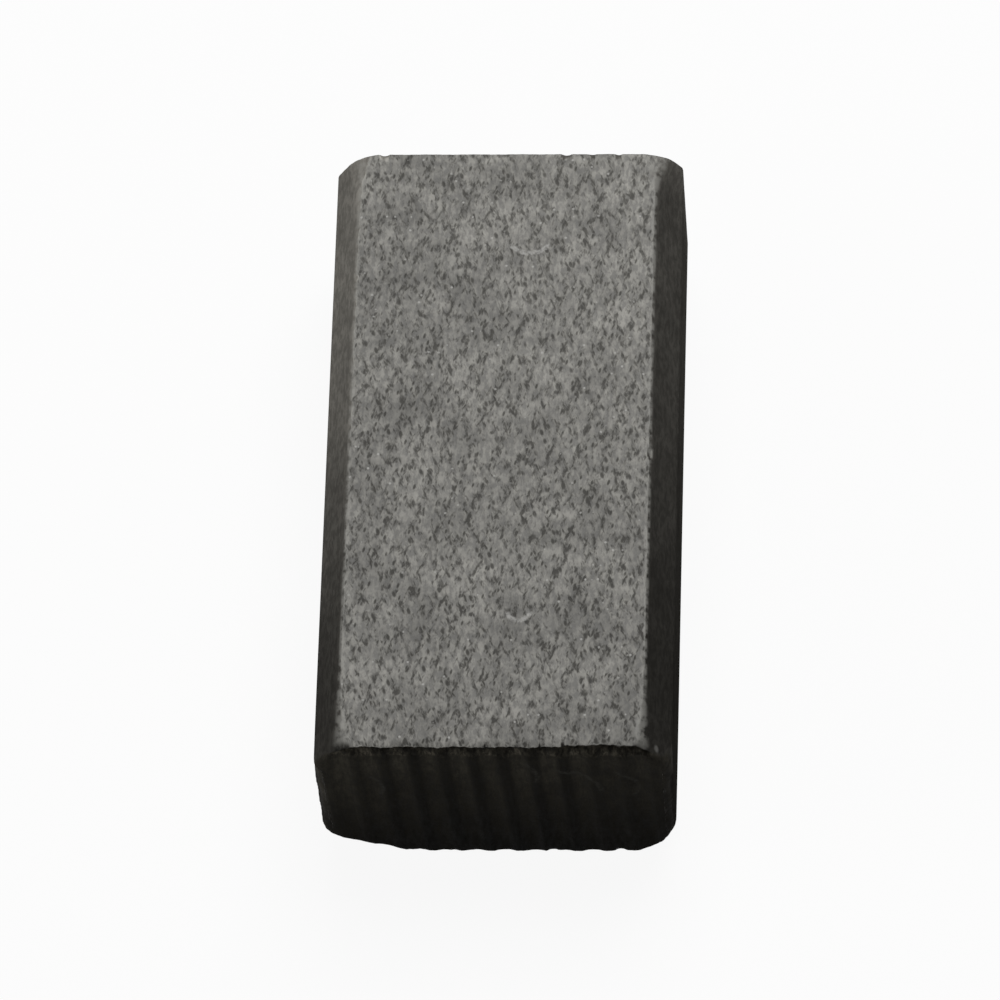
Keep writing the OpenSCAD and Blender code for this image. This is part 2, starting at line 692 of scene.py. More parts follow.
    def skin_cells(self, ring_count: int) -> np.ndarray:
        """Joins the rings, with the splits of the upper face along its score lines.

        Args:
            ring_count: Number of rings.

        Returns:
            Rows of three point numbers.
        """
        size = self.ring_size
        ring, point = np.meshgrid(np.arange(ring_count - 1), np.arange(size), indexing="ij")
        after = (point + 1) % size
        cells = np.stack([
            ring * size + point, ring * size + after,
            (ring + 1) * size + after, (ring + 1) * size + point,
        ], -1)
        row = ring - (self.rim_steps + 1) - self.rows
        column = point - sum(self.bevel_steps) - self.flat_columns
        falling = (column + 1 + row) % self.score_cells == 0
        rising = ((column - row) % self.score_cells == 0) | (((ring + point) % 2 == 0) & ~falling)
        return self.split_cells(cells.reshape(-1, 4), rising.ravel())

    def end_cells(self, grid: np.ndarray, sign: int) -> np.ndarray:
        """Joins the grid of an end.

        Args:
            grid: Columns by rows of point numbers.
            sign: -1 for the contact end and 1 for the plain end.

        Returns:
            Rows of three point numbers.
        """
        cells = np.stack([grid[:-1, :-1], grid[1:, :-1], grid[1:, 1:], grid[:-1, 1:]], -1)
        if sign > 0:
            cells = cells[..., ::-1]
        column, row = np.indices(cells.shape[:2])
        return self.split_cells(cells.reshape(-1, 4), ((column + row) % 2 == 0).ravel())

    def front_chips(self) -> list[Chip]:
        """Lists the chips that the front edge shows.

        Returns:
            The chips.
        """
        front, top = -self.half_length, self.thickness
        # Place across the bar, radius and depth
        along_edge = (
            (2.62, 0.3, 0.17), (3.1, 0.7, 0.09), (4.1, 0.6, 0.07), (-2.3, 0.25, 0.08), (0.4, 0.2, 0.07),
        )
        found = [
            Chip((x * MM, front, top), (0, -1, 1), radius * MM, depth * MM)
            for x, radius, depth in along_edge
        ]
        found.append(Chip((-5.0 * MM, front, top), (-1, -2, 2), 0.5 * MM, 0.18 * MM))
        by_bevel = (5.8 * MM, front + 0.38 * MM, top - 0.6 * MM)
        found.append(Chip(by_bevel, (0.85, -0.2, 0.5), 0.3 * MM, 0.09 * MM))
        return found

    def nicks(self) -> list[Chip]:
        """Scatters nicks over the edges of both ends and along the bevels.

        Returns:
            The nicks.
        """
        seed = 12
        # Reach, number of nicks on an edge, their radii, and their depths as shares of those
        end_edges = (self.shoulder, 9, (0.14, 0.34), (0.2, 0.4))
        long_edges = (self.half_length, 8, (0.2, 0.55), (0.1, 0.2))
        chance = np.random.default_rng(seed)
        found = []
        for lengthways, (reach, count, radii, shares) in enumerate((end_edges, long_edges)):
            for side, up in product((-1, 1), (0, 1)):
                for slide in chance.uniform(-reach, reach, count):
                    radius = chance.uniform(*radii) * MM
                    depth = radius * chance.uniform(*shares)
                    place = (slide, side * self.half_length, self.thickness * up)
                    outward = (0, side, 2 * up - 1)
                    if lengthways:
                        place = (side * self.shoulder, slide, self.thickness * up)
                        outward = (side, 0, 2 * (2 * up - 1))
                    found.append(Chip(place, outward, radius, depth))
        return found

    def mesh(self) -> bpy.types.Object:
        """Builds the skin with its edges worn, before the ribs and score lines are cut.

        Returns:
            The new object.
        """
        rings = self.skin_rings()
        size, rim = self.ring_size, self.rim_steps + 1
        points = rings.reshape(-1, 3)
        triangles = [self.skin_cells(len(rings))]
        for sign, ring in ((-1, 0), (1, len(rings) - 1)):
            grid = self.end_grid(ring * size)
            inside = self.end_points(rings[ring])
            grid[1:-1, 1:-1] = len(points) + np.arange(len(inside)).reshape(grid[1:-1, 1:-1].shape)
            points = np.concatenate([points, inside])
            triangles.append(self.end_cells(grid, sign))
        inside_count = (self.columns - 1) * (self.side_steps - 1)
        front = np.concatenate([np.arange(rim * size), len(rings) * size + np.arange(inside_count)])
        turned = np.concatenate([np.repeat(np.linspace(1, 0, rim), size), np.ones(inside_count)])

        def over_front(share: Callable[[np.ndarray, np.ndarray], np.ndarray]) -> np.ndarray:
            """Reads a share on the contact end and its rim, with 0 everywhere else.

            Args:
                share: Gives the share from the points and from how far each has turned.

            Returns:
                The share at every point of the skin.
            """
            values = np.zeros(len(points))
            values[front] = share(points[front], turned)
            return values

        reach, broken, worn = map(over_front, (self.rib_reach, self.broken_share, self.worn_through))
        for chip in self.front_chips() + self.nicks():
            points = chip.bite(points)
        mesh = bpy.data.meshes.new("graphite_bar")
        mesh.from_pydata(points.tolist(), [], np.concatenate(triangles).tolist())
        mesh.shade_smooth()
        self.store(mesh, Region.RIBS, reach)
        self.store(mesh, Region.BROKEN, broken)
        self.mark_regions(mesh, worn)
        bar = bpy.data.objects.new("graphite_bar", mesh)
        bpy.context.scene.collection.objects.link(bar)
        return bar

    def rib_reach(self, points: np.ndarray, turned: np.ndarray) -> np.ndarray:
        """Says how fully the flutes reach each point of the contact end and its rim.

        Args:
            points: Rows of X, Y and Z.
            turned: 1 on the end itself, falling to 0 on the sides.

        Returns:
            Shares that fade over the upper edge, and part of the way towards the worn lower one.
        """
        lower_fade, worn_fade, turned_fade = 0.4, 0.3, 0.4
        upper_reach, lower_reach, outer, inner = 2.5 * MM, 1.2 * MM, 0.4 * MM, 0.15 * MM
        middle = self.thickness / 2
        upper = fade(points[:, 2], middle, middle + upper_reach)
        lower_edge = self.broad_outline(-self.half_length, False)
        rise = points[:, 2] - np.interp(points[:, 0], lower_edge[:, 0], lower_edge[:, 1])
        worn = fade(points[:, 0], self.wear_width - self.half_width, -self.half_width)
        faded = (lower_fade + worn_fade * worn) * fade(rise, lower_reach, 0)
        aside = fade(np.abs(points[:, 0]), self.half_width - outer, self.half_width - inner)
        ended = aside * fade(turned, turned_fade, 0)
        return (1 - upper * (1 - turned)) * (1 - faded) * (1 - ended)

    def broken_share(self, points: np.ndarray, turned: np.ndarray) -> np.ndarray:
        """Says how fully each point lies on the broken edge.

        Args:
            points: Rows of X, Y and Z.
            turned: 1 on the end itself, falling to 0 on the sides.

        Returns:
            Shares that are 1 along the upper rim and fade down the end and onto the scored face.
        """
        fade_height, turned_full = 0.25 * MM, 0.25
        below = self.thickness - points[:, 2] - self.break_height
        return fade(below, fade_height, 0) * fade(turned, 0, turned_full)

    def worn_through(self, points: np.ndarray, turned: np.ndarray) -> np.ndarray:
        """Says how fully the contact end's wear shows on the rim near the upper bevels' feet.

        Args:
            points: Rows of X, Y and Z.
            turned: 1 on the end itself, falling to 0 on the sides.

        Returns:
            The shares.
        """
        reach, near_full, turned_limits = 0.3 * MM, 0.4, (0.4 / 6, 1.4 / 6)
        aside = fade(np.abs(points[:, 0]), self.shoulder, self.shoulder + reach)
        near = fade(self.on_bevel(points[:, 2]), 0, near_full)
        return aside * near * fade(turned, *turned_limits)

    @staticmethod
    def store(mesh: bpy.types.Mesh, region: Region, values: np.ndarray) -> None:
        """Writes one value for each point of a mesh."""
        attribute = mesh.attributes.new(region.value, "FLOAT", "POINT")
        attribute.data.foreach_set("value", values.astype(np.float32))

    def mark_regions(self, mesh: bpy.types.Mesh, worn: np.ndarray) -> None:
        """Marks broad faces, ends and worn edges, which carry a painted highlight, by the cosines of the
        surface's directions.

        Args:
            mesh: The skin.
            worn: Shares of the contact end's wear on the rim round it.
        """
        normals = np.zeros(len(mesh.vertices) * 3, np.float32)
        mesh.vertex_normals.foreach_get("vector", normals)
        along, up = normals.reshape(-1, 3)[:, 1:].T
        level, upright, lengthways = (0.86, 0.985), (0.55, 0.9), (0.1, 0.3)
        inner, outer = (0.7, 0.88), (0.965, 0.998)
        # Worn long edges, where the material also paints a highlight
        edge = soft_fade(np.abs(up), *inner) * (1 - soft_fade(np.abs(up), *outer))
        edge *= 1 - soft_fade(np.abs(along), *lengthways)
        self.store(mesh, Region.SCORED, soft_fade(up, *level))
        self.store(mesh, Region.GROUND, soft_fade(-up, *level))
        self.store(mesh, Region.END, np.maximum(soft_fade(np.abs(along), *upright), worn))
        self.store(mesh, Region.EDGE, edge)


@dataclass
class Cutter:
    """A Geometry Nodes tree that cuts a repeated form into the bar's skin.

    Attributes:
        name: Name of the tree.
        sizes: Named inputs of the tree, with their values.
        material: Material that the cut skin gets.
    """

    name: str
    sizes: dict[str, float]
    material: bpy.types.Material

    def __post_init__(self) -> None:
        """Makes the tree with its inputs."""
        tree = bpy.data.node_groups.new(self.name, "GeometryNodeTree")
        for way in ("OUTPUT", "INPUT"):
            tree.interface.new_socket("Geometry", in_out=way, socket_type="NodeSocketGeometry")
        for size in self.sizes:
            tree.interface.new_socket(size, in_out="INPUT", socket_type="NodeSocketFloat")
        self.graph = Graph(tree)
        group = self.graph.add("NodeGroupInput")
        self.given = {socket.name: socket for socket in group.outputs if socket.name}
        self.position = self.graph.add("GeometryNodeInputPosition").outputs[0]

    def cut(self) -> tuple[Socket, Socket]:
        """Adds a cutter's own nodes, and gives the skin and what its points are moved by."""
        raise NotImplementedError

    def run(self, target: bpy.types.Object) -> None:
        """Runs the tree on an object and keeps the result as its plain mesh.

        Args:
            target: The object.
        """
        tree = self.graph.tree
        skin, offset = self.cut()
        moved = self.graph.add("GeometryNodeSetPosition", {"Geometry": skin, "Offset": offset})
        real = self.graph.add("GeometryNodeRealizeInstances", {"Geometry": moved.outputs[0]})
        inputs = {"Geometry": real.outputs[0], "Material": self.material}
        painted = self.graph.add("GeometryNodeSetMaterial", inputs)
        self.graph.add("NodeGroupOutput", {0: painted.outputs[0]})
        modifier = target.modifiers.new(self.name, "NODES")
        modifier.node_group = tree
        for item in tree.interface.items_tree:
            if item.in_out == "INPUT" and item.name in self.sizes:
                modifier[item.identifier] = float(self.sizes[item.name])
        depsgraph = bpy.context.evaluated_depsgraph_get()
        mesh = bpy.data.meshes.new_from_object(target.evaluated_get(depsgraph), depsgraph=depsgraph)
        target.modifiers.remove(modifier)
        mesh.name = target.data.name
        target.data = mesh


@dataclass
class RibCutter(Cutter):
    """Cuts the round flutes that leave the ribs of the contact end.

    Each noise is followed by what it leaves of a flute's depth, or by its share of the bedding.
    """

    wear: Pattern = Pattern((900.0, 900.0, 260.0))
    kept: Ramp = Ramp(0.3, 0.62, 0.62, 1.0)
    bedding: Pattern = Pattern((1400.0, 1400.0, 500.0))
    bedded: Ramp = Ramp(0.45, 0.75)

    def cut(self) -> tuple[Socket, Socket]:
        """Shapes the flutes, whose radius follows from their depth and opening.

        Returns:
            The marked skin, and what its points are moved by.
        """
        graph, given = self.graph, self.given
        x, _, z = graph.split(self.position)
        rise = graph.math("SUBTRACT", z, given["Middle"])
        across = graph.math("MULTIPLY_ADD", rise, given["Lean"], x)
        distance = graph.from_line(across, given["Pitch"])
        opening = graph.product(graph.math("SUBTRACT", given["Pitch"], given["Land"]), 0.5)
        squares = graph.math("MULTIPLY_ADD", opening, opening, graph.math("POWER", given["Depth"], 2.0))
        radius = graph.math("DIVIDE", squares, graph.product(given["Depth"], 2.0))
        inside = graph.math("SUBTRACT", graph.math("POWER", radius, 2.0), graph.math("POWER", distance, 2.0))
        chord = graph.math("SQRT", graph.most(inside, 0.0))
        floor = graph.math("SUBTRACT", radius, given["Depth"])
        flute = graph.most(graph.math("SUBTRACT", chord, floor), 0.0)
        uneven = graph.noise(self.position, self.wear, seed=given["Seed"])
        depth = graph.product(flute, graph.ramp(uneven, self.kept))
        bedding = graph.noise(self.position, self.bedding, seed=given["Seed"])
        bedding = graph.product(graph.ramp(bedding, self.bedded), given["Bedding"])
        reach = graph.attribute(Region.RIBS)
        push = graph.product(graph.total(depth, bedding), reach)
        hollow = graph.math("DIVIDE", depth, given["Depth"])
        marked = graph.mark(given["Geometry"], Region.FLUTE, graph.product(hollow, reach))
        return marked, graph.join(Y=push)


@dataclass
class BreakCutter(Cutter):
    """Crumbles the broken upper edge of the contact end.

    The noises of grains and lumps are each followed by what those take.
    """

    grains: Pattern = Pattern((5200.0, 5200.0, 3400.0))
    grain_loss: Ramp = Ramp(0.38, 0.66, 0.0, 0.7)
    lumps: Pattern = Pattern((1500.0, 1500.0, 1500.0))
    lump_loss: Ramp = Ramp(0.4, 0.65, 0.0, 0.5)

    def cut(self) -> tuple[Socket, Socket]:
        """Pushes the broken band inwards, more in some grains than in others.

        Returns:
            The skin, and what its points are moved by.
        """
        graph, given = self.graph, self.given
        grains = graph.ramp(graph.noise(self.position, self.grains, seed=given["Seed"]), self.grain_loss)
        lumps = graph.ramp(graph.noise(self.position, self.lumps, seed=given["Seed"]), self.lump_loss)
        depth = graph.product(graph.total(grains, lumps), given["Depth"], -1.0)
        push = graph.product(depth, graph.attribute(Region.BROKEN))
        normal = graph.add("GeometryNodeInputNormal").outputs[0]
        return given["Geometry"], graph.vector("SCALE", normal, scale=push)


@dataclass
class ScoreCutter(Cutter):
    """Cuts the two crossing families of score lines into the upper broad face.

    Attributes:
        wear: Noise of the lines' wear.
        kept: Share of a line's depth that the wear leaves.
        shades: Shade by a line that leans towards -X at its back, and by one that leans to +X.
        on_line: Share of a mesh cell within which a point counts as lying on a line.
    """

    wear: Pattern = Pattern((2600.0, 1700.0, 10.0))
    kept: Ramp = Ramp(0.46, 0.6, 0.1, 1.0)
    shades: tuple[float, float] = (1.0, 0.8)
    on_line: float = 0.25

    def cut(self) -> tuple[Socket, Socket]:
        """Shapes the score lines, which wear has broken into strokes.

        Returns:
            The marked skin, and what its points are moved by.
        """
        graph, given = self.graph, self.given
        x, y, _ = graph.split(self.position)
        strokes = []
        shades = []
        for sign, shade in zip((-1.0, 1.0), self.shades):
            across = graph.math("MULTIPLY_ADD", y, graph.product(given["Slope"], sign), x)
            distance = graph.from_line(across, given["Pitch"])
            on_line = graph.math("LESS_THAN", distance, graph.product(given["Cell"], self.on_line))
            turn = sign * math.degrees(math.atan(self.sizes["Slope"]))
            worn = graph.noise(self.position, self.wear, turn, graph.total(given["Seed"], sign))
            strokes.append(graph.product(on_line, graph.ramp(worn, self.kept)))
            shades.append(graph.ramp(graph.math("DIVIDE", distance, given["Shade"]), Ramp(0, 1, shade, 0)))
        scored = graph.attribute(Region.SCORED)
        stroke = graph.product(graph.most(*strokes), scored)
        shade = graph.product(graph.most(*shades), scored)
        marked = graph.mark(given["Geometry"], Region.GROOVE, stroke)
        marked = graph.mark(marked, Region.SHADE, shade)
        return marked, graph.join(Z=graph.product(stroke, given["Depth"], -1.0))


@dataclass(frozen=True)
class Scuff:
    """A pale curved rub mark.

    Attributes:
        centre: The curve's centre: X and Y on both broad faces, X and Z on the contact end.
        radius: Radius of the curve.
        heading: Direction from the centre to the middle of the mark, in degrees from X.
        reach: How far the mark runs to either side of its middle, in degrees.
        width: Width of the mark.
    """

    centre: tuple[float, float]
    radius: float
    heading: float
    reach: float
    width: float


@dataclass(frozen=True)
class Limit:
    """An uneven limit of a region.

    Attributes:
        noise: Noise that makes it uneven.
        wander: Strength of that noise.
        share: Share of the region, by the sum of its mask and the noise.
        bound: Share that bounds the noise, by the mask alone.
    """

    noise: Pattern
    wander: float
    share: Ramp
    bound: Ramp


@dataclass(frozen=True)
class Specks:
    """Small marks, each in the middle of a cell of its own.

    Attributes:
        density: Cells in a millimetre along each axis.
        turn: Angle in degrees by which they are turned.
        spot: Strength of a mark by the distance from its middle.
        chosen: Its strength by the number between 0 and 1 that its cell has.
        channel: Channel of the cells' colours that gives this number.
    """

    density: Triple
    turn: float
    spot: Ramp
    chosen: Ramp
    channel: str = "Red"


@dataclass(frozen=True)
class GraphiteFinish:
    """Pressed graphite, ground and pale on its broad faces and dark where sawn or moulded, partly as painted
    sheen and shade.

    Lengths are millimetres, and a tone is a factor on a colour.
    """

    # Colours of ground faces, paler partly as painted sheen, of bevels and sides and of ends, darker
    # partly as painted shade, of rubbed edges, partly a painted highlight, of scuffs and bright flakes,
    # the flakes partly painted glints, of pits and strokes, the broken front edge, and the rub marks on
    # the contact end
    ground: Color = (0.1435, 0.1395, 0.1275, 1.0)
    bevel: Color = (0.04, 0.038, 0.034, 1.0)
    end: Color = (0.0137, 0.0125, 0.0098, 1.0)
    burnish_and_highlight: Color = (0.22, 0.216, 0.2, 1.0)
    scuff_and_glint: Color = (0.34, 0.335, 0.32, 1.0)
    dark: Color = (0.03, 0.029, 0.026, 1.0)
    broken: Color = (0.0235, 0.0212, 0.0165, 1.0)
    smear: Color = (0.036, 0.0345, 0.03, 1.0)
    # Roughness and sheen of ground faces, bevels and ends, where a sheen of 0.5 is that of glass
    roughness: Triple = (0.62, 0.6, 0.8)
    sheen: Triple = (0.3, 0.0, 0.03)
    # Share of the sheen that marks leave, and how much the roughness follows the grain
    mark_sheen: Ramp = Ramp(0.0, 1.0, 1.0, 0.25)
    grain_roughness: float = 0.16
    # Angles of the strokes and of the underside's grind marks from the long axis, in degrees
    score_angle: float = 18.5
    grind_angle: float = 22.0
    # Rub marks, which show on both broad faces, those of the contact end, and the gaps in them
    scuffs: tuple[Scuff, ...] = (
        Scuff((0.87, 8.72), 0.85, -90.0, 60.0, 0.13),
        Scuff((0.85, -6.5), 0.42, -90.0, 85.0, 0.12),
    )
    end_scuffs: tuple[Scuff, ...] = (
        Scuff((2.2, 4.75), 1.55, 48.0, 52.0, 0.14),
        Scuff((3.95, 5.1), 1.1, 20.0, 60.0, 0.12),
        Scuff((0.2, 5.9), 1.35, 15.0, 35.0, 0.14),
        Scuff((-4.9, 5.0), 1.0, 10.0, 50.0, 0.12),
    )
    scuff_gaps: Pattern = Pattern((7.0, 7.0, 7.0))
    scuff_kept: Ramp = Ramp(0.35, 0.6, 0.2, 1.0)
    # Place of a small pale chip by the contact end, and its paleness round that place
    fresh_chip: Triple = (5.75, -11.6, 7.35)
    chip_share: Ramp = Ramp(0.06, 0.18, 0.33, 0.0)
    # Limits of the ground faces and of the broken front edge
    ground_limit: Limit = Limit(Pattern((3.4, 1.7, 3.4), 3.0, 0.6), 1.5, Ramp(0.12, 0.72), Ramp(0.0, 0.25))
    break_limit: Limit = Limit(Pattern((3.2, 2.0, 1.6), 3.0, 0.6), 1.0, Ramp(0.3, 0.7), Ramp(0.0, 0.3))
    # Grains of the broken edge
    speckle: Pattern = Pattern((9.0, 4.0, 3.2), 2.0, 0.6)
    speckle_tone: Ramp = Ramp(0.36, 0.64, 0.4, 1.45)
    # Grain of the powder, which is drawn out upright on the ends
    lying_grain: Pattern = Pattern((6.0, 2.7, 6.0), 2.0, 0.6)
    upright_grain: Pattern = Pattern((6.5, 4.0, 1.5), 3.0, 0.66)
    grain_contrast: Ramp = Ramp(0.3, 0.7)
    # Strokes of the scored face and grind marks of the underside
    streaks: Pattern = Pattern((5.8, 2.1, 1.0), 2.0, 0.6)
    streak_depth: Ramp = Ramp(0.565, 0.77)
    grind_bend: Pattern = Pattern((0.6, 0.6, 0.6))
    bend_strength: float = 1.3
    grind_stretch: Triple = (2.95, 0.22, 1.0)
    grind_lines: Pattern = Pattern((1.6, 1.6, 1.6), 3.0, 0.6)
    grind_depth: Ramp = Ramp(0.5, 0.72)
    # Both kinds of pits
    pits: tuple[Specks, Specks] = (
        Specks((3.1, 1.55, 1.0), 15.0, Ramp(0.1, 0.28, 1.0, 0.0), Ramp(0.62, 0.78)),
        Specks((5.0, 1.9, 1.0), -15.0, Ramp(0.1, 0.28, 1.0, 0.0), Ramp(0.5, 0.66)),
    )
    # What nearness to a score line adds to the strokes and to the pits' share
    crowding: tuple[float, float] = (0.1, 0.3)
    # Strength of a score line as a mark
    groove_share: float = 0.5
    # Tones of the powder, and the share of them on bevels and on the rest
    clouds: Pattern = Pattern((0.5, 0.5, 0.5), 4.0, 0.75)
    cloud_tone: Ramp = Ramp(0.3, 0.7, 0.68, 1.32)
    grain_tone: Ramp = Ramp(0.0, 1.0, 0.66, 1.32)
    calm_share: Ramp = Ramp(0.0, 1.0, 0.5, 1.0)
    # Tones along the bevels and sides at -X and at +X: paler at the back, partly their own tone and partly
    # painted light from behind; darker at +X as painted shade of a neighbouring part; and painted light near
    # the back end at +X
    left_tone_and_painted_light: Ramp = Ramp(-10.0, 9.0, 0.85, 3.45)
    right_painted_light_and_shade: Ramp = Ramp(-12.0, 12.0, 0.5, 1.25)
    right_back_painted_light: Ramp = Ramp(10.2, 11.6, 0.0, 0.6)
    side_change: Ramp = Ramp(-3.0, 3.0)
    # Tones over the ends, darker towards the bottom as painted shade and paler at -X as painted light, and
    # of their flutes, paler as painted light on the ribs' slopes, which is clearest about the middle
    end_painted_shade: Ramp = Ramp(0.0, 8.0, 0.28, 1.42)
    end_left_painted_light: Ramp = Ramp(-5.6, -2.6, 1.5, 1.0)
    flute_painted_light: Ramp = Ramp(0.0, 0.9, 0.5, 1.6)
    flute_middle: float = -0.6
    flute_fade: Ramp = Ramp(2.9, 4.9, 0.0, 0.7)
    # Tone of the broad faces: in the middle, along and across as painted light from the back and from +X,
    # and what the ends add
    face_tone: float = 0.96
    face_painted_light_slope: float = 0.006
    face_painted_light_turn: Ramp = Ramp(-12.0, 12.0, -0.004, 0.024)
    face_end_tone: Ramp = Ramp(8.0, 12.0, 0.0, 0.05)
    # Rubbed part of the edges, paler partly as a painted highlight, and strength of the marks along the bar
    rub_noise: Pattern = Pattern((3.0, 3.0, 3.0), 3.0)
    rub_share: Ramp = Ramp(0.35, 0.6)
    mark_strength: Ramp = Ramp(-12.0, 12.0, 0.84, 0.7)
    # Bright flakes, partly painted glints
    flakes_and_glints: Specks = Specks((3.4, 3.4, 3.4), 0.0, Ramp(0.1, 0.2, 1.0, 0.0), Ramp(0.8, 0.86), "Green")
    # Strength of the rubbed colour with its painted highlight, of the scuffed colour with its painted
    # glints, and of the smeared colour
    overlay: float = 0.6
    # Saw lines and grain as relief, with its depth in metres
    saw_lines: Pattern = Pattern((6.0, 0.5, 6.0), 3.0, 0.6)
    grain_relief: float = 0.5
    moulded_relief: float = 0.6
    relief_strength: float = 0.7
    relief_depth: float = 0.025 * MM


@dataclass
class GraphitePainter:
    """Builds the material of the graphite, whose shares and marks run from 0 to 1.

    Attributes:
        finish: The finish that it follows.
    """

    finish: GraphiteFinish

    def __post_init__(self) -> None:
        """Starts the material, and reads the place on the bar and what lies there."""
        self.material = bpy.data.materials.new("pressed_graphite")
        self.material.use_nodes = True
        self.material.node_tree.nodes.clear()
        self.graph = Graph(self.material.node_tree)
        coordinates = self.graph.add("ShaderNodeTexCoord").outputs["Object"]
        self.place = self.graph.vector("MULTIPLY", coordinates, (1 / MM, 1 / MM, 1 / MM))
        self.x, self.y, self.z = self.graph.split(self.place)
        self.masks = {
            region: self.graph.add("ShaderNodeAttribute", attribute_name=region.value).outputs["Fac"]
            for region in Region
        }
        self.faces = self.graph.most(self.masks[Region.SCORED], self.masks[Region.GROUND])
        self.broad = self.uneven_share(self.faces, self.finish.ground_limit)
        self.grain = self.powder_grain()
        self.marks = self.face_marks()

    def paint(self) -> bpy.types.Material:
        """Joins colour, roughness, reflection and relief in the surface.

        Returns:
            The material.
        """
        finish, graph = self.finish, self.graph
        rough = graph.math("SUBTRACT", self.by_region(finish.roughness), finish.grain_roughness / 2)
        sheen = graph.product(self.by_region(finish.sheen), graph.ramp(self.marks, finish.mark_sheen))
        shader = graph.add("ShaderNodeBsdfPrincipled", {
            "Base Color": self.color(),
            "Roughness": graph.math("MULTIPLY_ADD", self.grain, finish.grain_roughness, rough),
            "Specular IOR Level": sheen,
            "Normal": self.relief(),
        })
        graph.add("ShaderNodeOutputMaterial", {"Surface": shader.outputs[0]})
        return self.material

    def by_region(self, values: Triple) -> Socket:
        """Gives the value of the region at a place, out of those of ground faces, bevels and ends."""
        moulded = self.graph.blend(self.masks[Region.END], *values[1:])
        return self.graph.blend(self.broad, moulded, values[0])

    def uneven_share(self, mask: Socket, limit: Limit) -> Socket:
        """Gives a region its uneven limit.

        Args:
            mask: How fully a place lies in the region by its form.
            limit: The limit.

        Returns:
            The share of the region.
        """
        graph = self.graph
        wander = graph.math("SUBTRACT", graph.noise(self.place, limit.noise), NOISE_MIDDLE)
        reach = graph.math("MULTIPLY_ADD", wander, limit.wander, mask)
        return graph.product(graph.ramp(reach, limit.share), graph.ramp(mask, limit.bound))

    def powder_grain(self) -> Socket:
        """Adds the fine grain of pressed powder, which is drawn out upright on the ends.

        Returns:
            The grain.
        """
        finish, graph = self.finish, self.graph
        lying = graph.noise(self.place, finish.lying_grain)
        upright = graph.noise(self.place, finish.upright_grain)
        return graph.ramp(graph.blend(self.masks[Region.END], lying, upright), finish.grain_contrast)

    def face_marks(self) -> Socket:
        """Adds the strokes, grind marks, pits and score lines of the ground faces.

        Returns:
            The marks.
        """
        finish, graph, masks = self.finish, self.graph, self.masks
        more_strokes, more_pits = (graph.product(masks[Region.SHADE], share) for share in finish.crowding)
        strokes = []
        for turn in (-finish.score_angle, finish.score_angle):
            streak = graph.noise(self.place, finish.streaks, turn)
            strokes.append(graph.ramp(graph.total(streak, more_strokes), finish.streak_depth))
        stroke = graph.product(graph.most(*strokes), masks[Region.SCORED])
        bend = graph.product(graph.noise(self.place, finish.grind_bend), finish.bend_strength)
        straight = graph.stretched(self.place, finish.grind_stretch, -finish.grind_angle)
        lines = graph.noise(graph.vector("ADD", straight, bend), finish.grind_lines)
        scratch = graph.product(graph.ramp(lines, finish.grind_depth), masks[Region.GROUND])
        pit = graph.most(*(self.specks(pits, more_pits) for pits in finish.pits))
        groove = graph.product(masks[Region.GROOVE], finish.groove_share)
        return graph.most(stroke, scratch, graph.product(pit, self.faces), groove)

    def specks(self, specks: Specks, more: Any = 0.0) -> Socket:
        """Scatters small marks.

        Args:
            specks: The marks.
            more: What is added to the number of a cell.

        Returns:
            The strength of the marks.
        """
        graph = self.graph
        vector = graph.stretched(self.place, specks.density, specks.turn)
        cells = graph.add("ShaderNodeTexVoronoi", {"Vector": vector, "Scale": 1.0}).outputs
        number = graph.add("ShaderNodeSeparateColor", {0: cells["Color"]}).outputs[specks.channel]
        chosen = graph.ramp(graph.total(number, more), specks.chosen)
        return graph.product(graph.ramp(cells["Distance"], specks.spot), chosen)

    def scuff_share(self, scuffs: tuple[Scuff, ...], upwards: Socket) -> Socket:
        """Draws curved rub marks.

        Args:
            scuffs: The marks.
            upwards: Y for the broad faces, and Z for the contact end.

        Returns:
            The share of a rub mark.
        """
        finish, graph = self.finish, self.graph
        core_share, full_share, least_span = 0.3, 0.8, 0.01
        flat = graph.join(X=self.x, Y=upwards)
        found = []
        for scuff in scuffs:
            offset = graph.vector("SUBTRACT", flat, (*scuff.centre, 0.0))
            span = graph.vector("LENGTH", offset)
            off = graph.math("ABSOLUTE", graph.math("SUBTRACT", span, scuff.radius))
            line = graph.ramp(off, Ramp(scuff.width * core_share, scuff.width, 1.0, 0.0))
            heading = math.radians(scuff.heading)
            ahead = graph.vector("DOT_PRODUCT", offset, (math.cos(heading), math.sin(heading), 0.0))
            cosine = graph.math("DIVIDE", ahead, graph.most(span, least_span))
            tip, full = (math.cos(math.radians(scuff.reach * share)) for share in (1.0, full_share))
            found.append(graph.product(line, graph.ramp(cosine, Ramp(tip, full))))
        kept = graph.ramp(graph.noise(self.place, finish.scuff_gaps), finish.scuff_kept)
        return graph.product(graph.most(*found), kept)

    def color(self) -> Socket:
        """Mixes the colour of every region.

        Returns:
            The colour.
        """
        finish, graph, masks = self.finish, self.graph, self.masks
        band = self.uneven_share(masks[Region.BROKEN], finish.break_limit)
        # Paler ground faces stand partly for painted sheen, darker bevels and ends partly for painted shade
        base = graph.tint(masks[Region.END], finish.bevel, finish.end)
        base = graph.tint(band, graph.tint(self.broad, base, finish.ground), finish.broken)
        color = graph.vector("SCALE", base, scale=self.tone(band))
